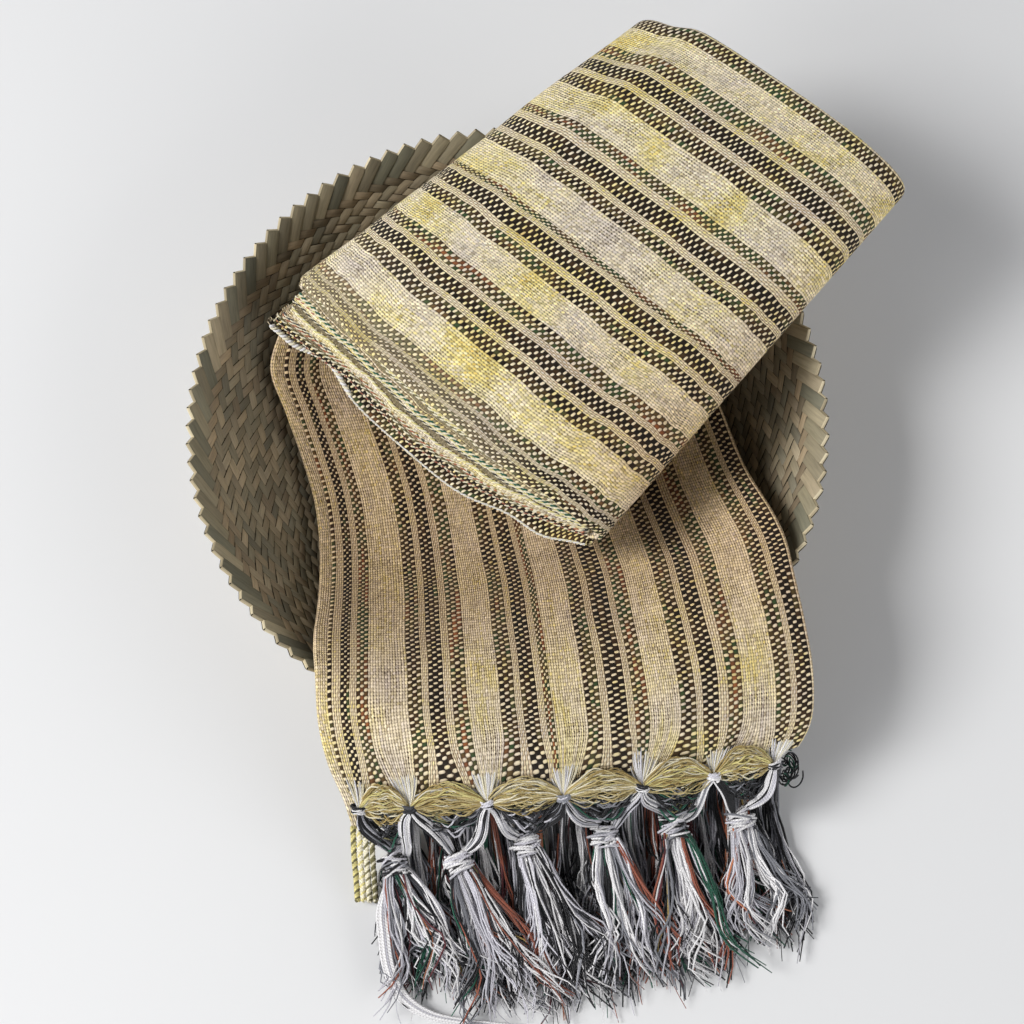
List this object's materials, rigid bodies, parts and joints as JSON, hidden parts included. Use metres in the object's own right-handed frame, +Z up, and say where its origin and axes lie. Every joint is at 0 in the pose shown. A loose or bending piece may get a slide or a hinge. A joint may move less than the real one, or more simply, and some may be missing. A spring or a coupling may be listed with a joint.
{
  "type": "folded rebozo shawl in a palm basket",
  "caption": "Striped handwoven rebozo shawl, folded into a bundle on the rim of a shallow palm basket, its free end and knotted fringe hanging over the front.",
  "frame": {"origin": "centre of the basket's flat foot, on the surface that the basket stands on", "axes": "+Z up along the basket's axis; -Y towards the front, where the shawl's free end and fringe hang over the rim; +X to the right, seen from the front"},
  "size_m": [0.3677, 0.5077, 0.1259],
  "materials": {
    "striped_cotton": "handwoven striped cotton",
    "cotton_edges": "folded and rolled edges of the same cotton",
    "weft_loops": "mustard loops and knots of cotton yarn",
    "fringe_yarn": "loose grey, white and black cotton yarn",
    "palm_strip": "plaited palm leaf strips, dry and matt"
  },
  "bodies": {
    "root": {"basket": "palm_strip", "shawl_strip": "striped_cotton", "bundle_wrap": "striped_cotton", "bundle_core": "cotton_edges", "bundle_leaf": "cotton_edges", "hem_knots": "weft_loops", "under_fringe": "cotton_edges", "tassel_1": "fringe_yarn", "tassel_2": "fringe_yarn", "tassel_3": "fringe_yarn", "tassel_4": "fringe_yarn", "tassel_5": "fringe_yarn", "tassel_6": "fringe_yarn"}
  },
  "joints": []
}
